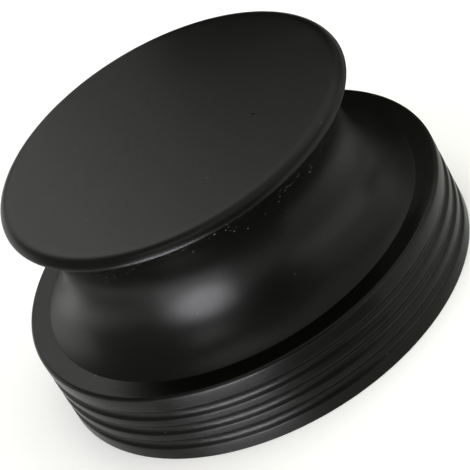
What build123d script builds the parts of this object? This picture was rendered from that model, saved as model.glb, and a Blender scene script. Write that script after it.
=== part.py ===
from build123d import *
from math import radians, tan
import os

# A record weight: one solid turned from aluminium bar, all its forms round about +Z.
# It stands on the record's label, with the origin at the middle of its flat underside.
# All sizes are in millimetres.

# Rim: the wide base, with a straight wall and a flat ledge on top
base_diameter = 82.0
rim_height = 15.15
rim_edge_radius = 0.75
base_edge_chamfer = 0.1

# Grooves: shallow round channels turned into the rim's wall
groove_count = 3
groove_pitch = 3.62
groove_width = 2.2
groove_depth = 0.62

# Head: the flat disc on top, whose edge rolls over in a quarter ellipse and ends in a sharp lip
overall_height = 41.0
lip_diameter = 68.05
lip_drop = 1.65
roll_over_width = 2.3

# Waist: the hollow under the head where the fingers lift, one arc from lip to ledge.
# Its depth is measured from a straight edge laid from the lip to the foot of the arc.
waist_depth = 6.4
ledge_width = 4.25
foot_radius = 0.4

# Bore: the blind hole that drops over the turntable's spindle
spindle_diameter = 7.15
spindle_clearance = 0.25
bore_depth = 20.0
bore_mouth_chamfer = 1.0
drill_point_angle = 118.0

base_radius = base_diameter / 2
lip_radius = lip_diameter / 2
lip = (lip_radius, overall_height - lip_drop)
face_edge = (lip_radius - roll_over_width, overall_height)
roll_over_centre = (face_edge[0], lip[1])
foot = (base_radius - ledge_width, rim_height)
rim_edge = (base_radius, rim_height)
base_edge = (base_radius, 0)

# A groove is part of a circle: its radius follows from its width and its depth.
groove_radius = ((groove_width / 2) ** 2 + groove_depth**2) / (2 * groove_depth)
groove_axis_radius = base_radius - groove_depth + groove_radius
# The grooves are centred on the straight part of the wall, between its two broken edges.
wall_middle = (base_edge_chamfer + rim_height - rim_edge_radius) / 2

bore_radius = (spindle_diameter + spindle_clearance) / 2
drill_point_height = bore_radius / tan(radians(drill_point_angle / 2))

os.makedirs("parts", exist_ok=True)

with BuildPart() as weight_body:
    # Half section of the solid, from the axis out along the base and back in along the top
    with BuildSketch(Plane.XZ) as half_section:
        with BuildLine():
            Polyline((0, overall_height), (0, 0), base_edge, rim_edge, foot)
            SagittaArc(foot, lip, waist_depth)
            EllipticalCenterArc(roll_over_centre, roll_over_width, lip_drop)
            Line(face_edge, (0, overall_height))
        make_face()
        ledge_corners = half_section.vertices().group_by(Axis.Y)[1].sort_by(Axis.X)
        fillet(ledge_corners.first, foot_radius)
        fillet(ledge_corners.last, rim_edge_radius)
        chamfer(half_section.vertices().sort_by(Axis.X).last, base_edge_chamfer)
    revolve(axis=Axis.Z)

    # Grooves round the rim
    with BuildSketch(Plane.XZ):
        with Locations((groove_axis_radius, wall_middle)):
            with GridLocations(0, groove_pitch, 1, groove_count):
                Circle(groove_radius)
    revolve(axis=Axis.Z, mode=Mode.SUBTRACT)

    # Drilled spindle bore, open at the underside, with a chamfered mouth and the drill's point at its end
    with BuildSketch(Plane.XZ):
        with BuildLine():
            Polyline(
                (0, 0),
                (bore_radius + bore_mouth_chamfer, 0),
                (bore_radius, bore_mouth_chamfer),
                (bore_radius, bore_depth),
                (0, bore_depth + drill_point_height),
                close=True,
            )
        make_face()
    revolve(axis=Axis.Z, mode=Mode.SUBTRACT)

weight_body.part.label = "weight_body"
export_step(weight_body.part, "parts/weight_body.step")
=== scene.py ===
import bpy
import numpy as np
from mathutils import Matrix, Vector


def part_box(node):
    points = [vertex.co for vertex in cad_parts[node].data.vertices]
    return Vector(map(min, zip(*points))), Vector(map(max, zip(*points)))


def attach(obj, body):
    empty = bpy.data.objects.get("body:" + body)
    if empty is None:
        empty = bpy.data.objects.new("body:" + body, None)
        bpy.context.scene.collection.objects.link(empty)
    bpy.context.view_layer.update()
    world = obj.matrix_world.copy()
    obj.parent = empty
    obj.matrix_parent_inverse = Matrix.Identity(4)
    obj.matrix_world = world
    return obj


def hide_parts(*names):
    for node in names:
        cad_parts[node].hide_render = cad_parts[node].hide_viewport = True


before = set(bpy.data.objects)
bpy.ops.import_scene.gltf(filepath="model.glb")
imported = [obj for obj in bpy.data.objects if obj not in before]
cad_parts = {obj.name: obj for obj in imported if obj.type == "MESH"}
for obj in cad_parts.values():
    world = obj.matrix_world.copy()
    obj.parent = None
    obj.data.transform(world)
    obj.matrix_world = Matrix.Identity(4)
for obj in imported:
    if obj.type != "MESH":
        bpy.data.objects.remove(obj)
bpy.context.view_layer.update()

# Weight body: one solid turned from aluminium bar, about 0.42 kg, then bead-blasted and anodised black.
# A flat head rolls over to a sharp lip, a hollow waist for the fingers runs down to a ledge, and the
# rim has three shallow grooves. A blind bore underneath drops over the turntable's spindle.
body_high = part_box("weight_body")[1]
base_radius = body_high.x
overall_height = body_high.z

rim_height = 0.01515
rim_edge_radius = 0.00075
base_edge_chamfer = 0.0001
groove_count = 3
groove_pitch = 0.00362
groove_width = 0.0022
groove_depth = 0.00062

lip_radius = 0.034025
lip_drop = 0.00165
roll_over_width = 0.0023
waist_depth = 0.0064
ledge_width = 0.00425

bore_radius = 0.0037
bore_depth = 0.02
bore_mouth_chamfer = 0.001
drill_point_angle = np.radians(118)

# The blasting rounds every edge a little, those of the grooves the most: these are the lengths of surface
# that each round takes up.
edge_break = 0.0002
groove_edge_break = 0.00045
arc_points = 121
section_rows = 230
turning_segments = 384


def arc(centre, radius, start, end):
    """Points on a circle in the half section, from angle start to angle end in radians, where angle 0
    points away from the axis and a quarter turn points up."""
    angle = np.linspace(start, end, arc_points)
    return np.stack([centre[0] + radius * np.cos(angle), centre[1] + radius * np.sin(angle)], 1)


def sagitta_arc(start, end, depth):
    """Points on the arc that leaves the straight line from start to end by depth, to the line's left."""
    chord = end - start
    length = np.hypot(*chord)
    radius = (length**2 / 4 + depth**2) / (2 * depth)
    left = np.array([-chord[1], chord[0]]) / length
    centre = (start + end) / 2 - left * (radius - depth)
    first = np.arctan2(*(start - centre)[::-1])
    half_turn = np.arcsin(length / 2 / radius)
    return arc(centre, radius, first, first - 2 * half_turn)


def break_edges(line, width):
    """Walks the line at even steps and averages it over the width: straight runs and wide arcs stay
    where they are, and each sharp corner becomes a small round."""
    side_steps = 4
    window = np.full(2 * side_steps + 1, 1 / (2 * side_steps + 1))
    step = width / len(window)
    along = np.r_[0, np.cumsum(np.hypot(*np.diff(line, axis=0).T))]
    places = np.linspace(0, along[-1], int(along[-1] / step))
    even = np.stack([np.interp(places, along, column) for column in line.T], 1)
    padded = np.pad(even, ((side_steps, side_steps), (0, 0)), mode="edge")
    return np.stack([np.convolve(column, window, "valid") for column in padded.T], 1)


def thin_out(line, rows, stride, turn):
    """The line with fewer points: each step uses an equal share of its length, counted in strides, plus
    its turning, counted in turns, so that points gather where it bends."""
    steps = np.diff(line, axis=0)
    heading = np.unwrap(np.arctan2(steps[:, 1], steps[:, 0]))
    bending = np.r_[0, np.abs(np.diff(heading))]
    share = np.r_[0, np.cumsum(np.hypot(*steps.T) / stride + bending / turn)]
    places = np.linspace(0, share[-1], rows)
    return np.stack([np.interp(places, share, column) for column in line.T], 1)


def turned(name, line, segments):
    """Mesh of a line carried round +Z: radius r and height z go to (r cos a, r sin a, z) for even angles a.
    Both ends of the line are on the axis, where a fan of triangles closes the surface."""
    angle = np.linspace(0, 2 * np.pi, segments, endpoint=False)
    ring_line = line[1:-1]
    radius = ring_line[:, :1]
    height = np.repeat(ring_line[:, 1:], segments, axis=1)
    rings = np.stack([radius * np.cos(angle), radius * np.sin(angle), height], 2).reshape(-1, 3)
    poles = np.array([[0, 0, line[0, 1]], [0, 0, line[-1, 1]]])

    here = np.arange(segments)
    beside = np.roll(here, -1)
    ring_start = np.arange(len(ring_line) - 1)[:, None] * segments
    next_start = ring_start + segments
    quads = np.stack([ring_start + here, ring_start + beside, next_start + beside, next_start + here], 2)
    last_start = (len(ring_line) - 1) * segments
    first_pole = np.full(segments, len(rings))
    first_fan = np.stack([first_pole, beside, here], 1)
    last_fan = np.stack([first_pole + 1, last_start + here, last_start + beside], 1)

    mesh = bpy.data.meshes.new(name)
    faces = quads.reshape(-1, 4).tolist() + first_fan.tolist() + last_fan.tolist()
    mesh.from_pydata(np.vstack([rings, poles]).tolist(), [], faces)
    mesh.polygons.foreach_set("use_smooth", np.ones(len(mesh.polygons), dtype=bool))
    mesh.update()
    piece = bpy.data.objects.new(name, mesh)
    bpy.context.scene.collection.objects.link(piece)
    return piece


lip = np.array([lip_radius, overall_height - lip_drop])
foot = np.array([base_radius - ledge_width, rim_height])

bore = np.array(
    [
        [0, bore_depth + bore_radius / np.tan(drill_point_angle / 2)],
        [bore_radius, bore_depth],
        [bore_radius, bore_mouth_chamfer],
        [bore_radius + bore_mouth_chamfer, 0],
    ]
)
base_edge = np.array([[base_radius - base_edge_chamfer, 0], [base_radius, base_edge_chamfer]])

groove_radius = ((groove_width / 2) ** 2 + groove_depth**2) / (2 * groove_depth)
groove_half_angle = np.arcsin(groove_width / 2 / groove_radius)
groove_axis = base_radius - groove_depth + groove_radius
wall_middle = (base_edge_chamfer + rim_height - rim_edge_radius) / 2
groove_heights = wall_middle + groove_pitch * (np.arange(groove_count) - (groove_count - 1) / 2)
grooves = [
    arc((groove_axis, height), groove_radius, np.pi + groove_half_angle, np.pi - groove_half_angle)
    for height in groove_heights
]
rim_edge = arc((base_radius - rim_edge_radius, rim_height - rim_edge_radius), rim_edge_radius, 0, np.pi / 2)

waist = sagitta_arc(foot, lip, waist_depth)
quarter_turn = np.linspace(0, np.pi / 2, arc_points)
roll_over_centre = (lip_radius - roll_over_width, overall_height - lip_drop)
roll_over = np.stack(
    [
        roll_over_centre[0] + roll_over_width * np.cos(quarter_turn),
        roll_over_centre[1] + lip_drop * np.sin(quarter_turn),
    ],
    1,
)

wall = break_edges(np.vstack([base_edge[1:], *grooves, rim_edge[:1]]), groove_edge_break)
section = np.vstack([bore, base_edge, wall, rim_edge, waist, roll_over, [[0, overall_height]]])
section = break_edges(section, edge_break)
section = thin_out(section, section_rows, stride=0.003, turn=np.radians(7))
section[[0, -1], 0] = 0
weight = turned("turned_weight", section, turning_segments)


class Shade:
    """One output of a material's nodes. Arithmetic on it, with numbers or other outputs, adds Math nodes,
    and node() adds a node of any other kind."""

    def __init__(self, tree, socket=None):
        self.tree = tree
        self.socket = socket

    def node(self, kind, settings, sockets, output=0):
        """Adds a node, makes its settings, then gives each socket its number or its link."""
        made = self.tree.nodes.new("ShaderNode" + kind)
        for name, value in settings.items():
            setattr(made, name, value)
        for key, value in sockets.items():
            if isinstance(value, Shade):
                self.tree.links.new(value.socket, made.inputs[key])
            else:
                made.inputs[key].default_value = value
        return Shade(self.tree, made.outputs[output] if made.outputs else None)

    def output(self, name):
        """Another output of the node that this one comes from."""
        return Shade(self.tree, self.socket.node.outputs[name])

    def math(self, operation, first, second):
        """Adds a Math node for one operation on two values."""
        return self.node("Math", {"operation": operation}, {0: first, 1: second})

    def __add__(self, other):
        return self.math("ADD", self, other)

    def __sub__(self, other):
        return self.math("SUBTRACT", self, other)

    def __rsub__(self, other):
        return self.math("SUBTRACT", other, self)

    def __mul__(self, other):
        return self.math("MULTIPLY", self, other)

    def __truediv__(self, other):
        return self.math("DIVIDE", self, other)

    __radd__ = __add__
    __rmul__ = __mul__


def new_material(name):
    """An empty material and a Shade to start its nodes from."""
    material = bpy.data.materials.new(name)
    material.use_nodes = True
    material.node_tree.nodes.clear()
    return material, Shade(material.node_tree)


coat_colour = (0.0014, 0.0014, 0.0011, 1)
coat_roughness = 0.29
coat_specular = 0.12
patch_size = 0.006
patch_change = 0.04
grain_size = 0.00028
grain_height = 0.000014

anodised, start = new_material("black_anodised")
place = start.node("TexCoord", {}, {}, "Object")
patches = place.node("TexNoise", {}, {"Vector": place, "Scale": 1 / patch_size, "Detail": 2.0})
grain = place.node("TexNoise", {}, {"Vector": place, "Scale": 1 / grain_size, "Detail": 1.0})
blasted = place.node("Bump", {}, {"Height": grain, "Strength": 1.0, "Distance": grain_height}, "Normal")

# Dust: fine pale grains, most of them caught on the waist below the lip, and a few larger ones that each
# have their own place. One dark crumb lies on the head's flat top.
dust_colour = (0.2, 0.2, 0.19, 1)
dust_roughness = 0.6
dust_spacing = 0.0006
dust_radius = 0.0001
dust_edge = 0.00005
open_share = 0.003
caught_share = 0.7
caught_reach = 0.009
crumb_colour = (0.004, 0.004, 0.004, 1)


def spot(distance, radius):
    """Mask of a small round spot: 1 well inside the radius, 0 outside it, with a soft edge."""
    return place.node("Clamp", {}, {"Value": (radius - distance) / dust_edge})


def grain_at(azimuth, from_axis, height, radius):
    """Mask of one grain at a place on the surface, which is given in degrees and millimetres."""
    turn = np.radians(azimuth)
    point = (from_axis * np.cos(turn) / 1000, from_axis * np.sin(turn) / 1000, height / 1000)
    distance = place.node("VectorMath", {"operation": "DISTANCE"}, {0: place, 1: point}, "Value")
    return spot(distance, radius / 1000)


cells = place.node("TexVoronoi", {}, {"Vector": place, "Scale": 1 / dust_spacing}, "Distance")
chance = place.node("SeparateColor", {}, {"Color": cells.output("Color")}, "Red")
height = place.node("SeparateXYZ", {}, {"Vector": place}, "Z")
below_lip = place.math("LESS_THAN", height, lip[1])
caught = place.node("Clamp", {}, {"Value": 1 + (height - lip[1]) / caught_reach}) * below_lip
share = open_share + caught_share * caught * patches
dust = spot(cells * dust_spacing, dust_radius) * place.math("LESS_THAN", chance, share)
dust = dust + grain_at(-93.3, 32.8, 38.2, 0.18)
dust = dust + grain_at(-106.5, 32.1, 37.3, 0.13)
dust = dust + grain_at(-83.4, 30.1, 33.9, 0.1)
dust = dust + grain_at(-54.6, 30.1, 34.0, 0.15)
dust = dust + grain_at(-47.1, 30.7, 35.1, 0.15)
dust = dust + grain_at(-46.7, 31.7, 36.8, 0.13)
dust = dust + grain_at(-61.1, 31.4, 36.3, 0.13)
dust = dust + grain_at(-77.9, 30.7, 21.1, 0.08)
dust = dust + grain_at(-152.7, 37.0, 15.15, 0.13)
dust = dust + grain_at(-45.2, 33.1, 40.7, 0.1)
dust = dust + grain_at(60.0, 5.9, 41.0, 0.1)
dust = dust + grain_at(-81.3, 41.0, 10.1, 0.12)

roughness = coat_roughness + patch_change * (patches - 0.5) + dust_roughness * dust
colour = place.node("Mix", {"data_type": "RGBA"}, {0: dust, 6: coat_colour, 7: dust_colour}, 2)
coat = place.node(
    "BsdfPrincipled",
    {},
    {"Base Color": colour, "Roughness": roughness, "Specular IOR Level": coat_specular, "Normal": blasted},
)
crumb = place.node("BsdfDiffuse", {}, {"Color": crumb_colour})
surface = place.node("MixShader", {}, {0: grain_at(-35.3, 17.7, 41.0, 0.3), 1: coat, 2: crumb})
place.node("OutputMaterial", {}, {"Surface": surface})
weight.data.materials.append(anodised)

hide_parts("weight_body")
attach(weight, "root")

# Floor: a wide sheet of matt white paper under the weight. It takes the weight's soft shadow, and it lets
# the lamps' light through, so that a lamp may hang partly below its level. Past the lamps it glows enough
# to stay white.
floor_reach = 5.0
floor_white = (0.88, 0.88, 0.88, 1)
matt = {"Roughness": 1.0, "Specular IOR Level": 0.0}
floor_glow = 0.2
far_glow = 0.62
far_start = 0.3
far_end = 0.6

floor_mesh = bpy.data.meshes.new("floor")
corners = floor_reach * np.array([[-1, -1, 0], [1, -1, 0], [1, 1, 0], [-1, 1, 0]])
floor_mesh.from_pydata(corners.tolist(), [], [(0, 1, 2, 3)])
floor = bpy.data.objects.new("floor", floor_mesh)
bpy.context.scene.collection.objects.link(floor)
floor.visible_shadow = False

paper, start = new_material("white_paper")
from_middle = start.node("TexCoord", {}, {}, "Object")
distance = start.node("VectorMath", {"operation": "LENGTH"}, {0: from_middle}, "Value")
glow_range = {"From Min": far_start, "From Max": far_end, "To Min": floor_glow, "To Max": far_glow}
glow = start.node("MapRange", {"interpolation_type": "SMOOTHSTEP"}, {"Value": distance, **glow_range})
ray = start.node("LightPath", {}, {}, "Is Camera Ray")
seen = ray + ray.output("Is Glossy Ray") + ray.output("Is Transmission Ray")
sheet = start.node(
    "BsdfPrincipled",
    {},
    {"Base Color": floor_white, **matt, "Emission Color": seen * glow, "Emission Strength": 1.0},
)
start.node("OutputMaterial", {}, {"Surface": sheet})
floor_mesh.materials.append(paper)

# Lamps: soft panels round the weight in a white room. A bright key stands low in front and to the left,
# and dimmer panels behind, to the right and above light the waist, the rim and the flat head.
room_colour = (1, 1, 0.97, 1)
room_strength = 0.42

world = bpy.data.worlds.new("studio")
world.use_nodes = True
room = world.node_tree.nodes["Background"]
room.inputs["Color"].default_value = room_colour
room.inputs["Strength"].default_value = room_strength
bpy.context.scene.world = world


def towards(azimuth, elevation):
    """Unit vector in a direction given in degrees, where azimuth 0 is +X and the camera is at -90."""
    turn, rise = np.radians(azimuth), np.radians(elevation)
    return Vector((np.cos(turn) * np.cos(rise), np.sin(turn) * np.cos(rise), np.sin(rise)))


def softbox(name, azimuth, elevation, distance, width, height, radiance, colour, shape="RECTANGLE"):
    """A panel of soft light at a direction and a distance from the weight's middle, turned to face it.
    Its power is pi times its area times its radiance, so a panel looks as bright at any size."""
    lamp = bpy.data.lights.new(name, "AREA")
    lamp.shape = shape
    lamp.size, lamp.size_y = width, height
    area = width * height if shape == "RECTANGLE" else np.pi / 4 * width * height
    lamp.energy = radiance * np.pi * area
    lamp.color = colour
    panel = bpy.data.objects.new(name, lamp)
    bpy.context.scene.collection.objects.link(panel)
    direction = towards(azimuth, elevation)
    panel.location = Vector((0, 0, overall_height / 2)) + direction * distance
    panel.rotation_euler = direction.to_track_quat("Z", "Y").to_euler()
    panel.visible_camera = False
    return lamp


cool, plain, warm = (0.99, 0.99, 1.04), (1, 1, 1), (1, 1, 0.91)
key = softbox("key", -125, -5, 0.6, 0.40, 0.42, 15.7, cool, "ELLIPSE")
key_edge = softbox("key_edge", -130, -17, 0.6, 0.48, 0.56, 3.8, cool)
# The floor hides the lower part of these two from reflected rays, so all their light is sampled directly.
key.cycles.use_multiple_importance_sampling = False
key_edge.cycles.use_multiple_importance_sampling = False

softbox("back_low", 132, 12, 0.45, 0.30, 0.16, 1.15, plain)
softbox("back_mid", 106.5, 35, 0.45, 0.17, 0.20, 1.32, plain)
softbox("back_high", 65, 52, 0.45, 0.56, 0.22, 1.35, warm)
softbox("right_low", -30, 6, 0.45, 0.60, 0.14, 1.95, warm)
softbox("right_high", -12, 26, 0.45, 0.70, 0.26, 1.25, warm)
softbox("overhead", -10, 72, 0.55, 0.50, 0.50, 0.9, warm)
softbox("front_high", -140, 65, 0.45, 0.20, 0.16, 2.1, warm)
softbox("front_left", -131, 33, 0.45, 0.16, 0.14, 3.2, plain)

# Flags: bent cards behind, beside and in front, which only reflections see. The upright ones stand for the
# dark room beyond the light. The ones lying on the floor are painted shadow: they deepen the weight's
# shadow and the shade round its foot where reflections see the floor. Together they keep the far side of
# the waist, the ledge and the upper right of the head dark.
flag_segments = 24


def flag(name, first, last, line, grey, fade_end=None, fade_grey=None):
    """A card carried round the axis from the first azimuth to the last, in degrees: each point of the line
    is a distance from the axis and a height. Where a fade is given, its grey is fade_grey at the first
    azimuth and changes smoothly to grey at fade_end."""
    card, start = new_material(name)
    shade = (grey, grey, grey, 1)
    if fade_end is not None:
        across = start.node("SeparateXYZ", {}, {"Vector": start.node("TexCoord", {}, {}, "Object")}, "X")
        azimuth = start.math("ARCTAN2", across.output("Y"), across)
        fade = {
            "From Min": np.radians(first),
            "From Max": np.radians(fade_end),
            "To Min": fade_grey,
            "To Max": grey,
        }
        shade = start.node("MapRange", {"interpolation_type": "SMOOTHSTEP"}, {"Value": azimuth, **fade})
    card_or_painted_shadow = start.node("BsdfPrincipled", {}, {"Base Color": shade, **matt})
    start.node("OutputMaterial", {}, {"Surface": card_or_painted_shadow})

    angle = np.radians(np.linspace(first, last, flag_segments + 1))[:, None]
    distance, height = np.array(line).T
    points = np.stack([distance * np.cos(angle), distance * np.sin(angle), height + 0 * angle], 2)
    here = (np.arange(flag_segments)[:, None] * len(line) + np.arange(len(line) - 1)).ravel()
    beside = here + len(line)
    faces = np.stack([here, beside, beside + 1, here + 1], 1)
    mesh = bpy.data.meshes.new(name)
    mesh.from_pydata(points.reshape(-1, 3).tolist(), [], faces.tolist())
    mesh.materials.append(card)
    strip = bpy.data.objects.new(name, mesh)
    bpy.context.scene.collection.objects.link(strip)
    strip.visible_camera = False
    strip.visible_diffuse = False
    strip.visible_shadow = False


# Painted shadow on the floor behind and to the right, seen only in reflections: it fades from white to dark
# where the key's shadow falls.
flag("painted_shadow_behind", -14, 106, [(0.043, 0.002), (0.2, 0.002)], 0.02, 45, 1.0)
flag("flag_near", 19, 88, [(0.085, 0.002), (0.085, 0.031)], 0.03, 39, 0.18)
flag("flag_back", 30, 88, [(0.2, 0.058), (0.2, 0.085)], 0.03, 48, 0.18)
flag("flag_tall", 48, 86, [(0.1, 0.034), (0.1, 0.105)], 0.02)
# Painted shade round the foot, on the floor to the left, seen only in reflections.
flag("painted_shade_left", 144, 180, [(0.058, 0.002), (0.09, 0.002)], 0.45, 166, 0.9)
flag("painted_shade_left_front", -180, -160, [(0.06, 0.002), (0.09, 0.002)], 0.5)
# Painted shade round the foot, on the floor in front, seen only in reflections.
flag("painted_shade_front", -140, -60, [(0.05, 0.002), (0.07, 0.002)], 0.3)
flag("flag_front", -98, -74, [(0.3, 0.03), (0.28, 0.26)], 0.02)

# Camera: a long lens in front of the weight, about half a metre away and looking down on it. It is rolled,
# so that the weight leans in the picture as in the photograph.
camera_distance = 0.474856
camera_elevation = np.radians(33.009)
camera_roll = np.radians(-30.603)
aim = Vector((0.001009, 0, 0.014725))
focal_pixels = 2603.764
photo_width = 470

lens = bpy.data.cameras.new("camera")
lens.sensor_width = 36
lens.lens = lens.sensor_width * focal_pixels / photo_width
lens.clip_start = 0.01
lens.clip_end = 100
camera = bpy.data.objects.new("camera", lens)
bpy.context.scene.collection.objects.link(camera)
backwards = Vector((0, -np.cos(camera_elevation), np.sin(camera_elevation)))
tilt = Matrix.Rotation(np.pi / 2 - camera_elevation, 4, "X")
roll = Matrix.Rotation(camera_roll, 4, "Z")
camera.matrix_world = Matrix.Translation(aim + backwards * camera_distance) @ tilt @ roll
bpy.context.scene.camera = camera

bpy.context.scene.view_settings.view_transform = "Standard"
